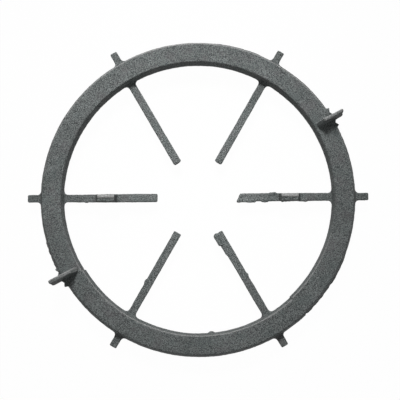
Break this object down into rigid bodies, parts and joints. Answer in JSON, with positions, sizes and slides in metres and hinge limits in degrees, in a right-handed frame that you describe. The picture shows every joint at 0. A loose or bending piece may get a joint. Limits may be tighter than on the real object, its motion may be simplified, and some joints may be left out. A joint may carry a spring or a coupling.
{
  "type": "burner grate",
  "caption": "Round cast-iron burner grate: a flat ring crossed by radial bars, with two locating fins and two short stubs on its underside.",
  "frame": {"origin": "on the ring's axis, in the plane that the bars' pan edges rest on", "axes": "+Z out of the underside, which faces up as the grate lies in the picture; +X along the bar that carries a stub and points to the picture's right, +Y towards the picture's top"},
  "size_m": [0.228, 0.2111, 0.026],
  "materials": {
    "cast_iron": "sand-cast, matt grey"
  },
  "bodies": {
    "root": {"burner_grate": "cast_iron"}
  },
  "joints": []
}
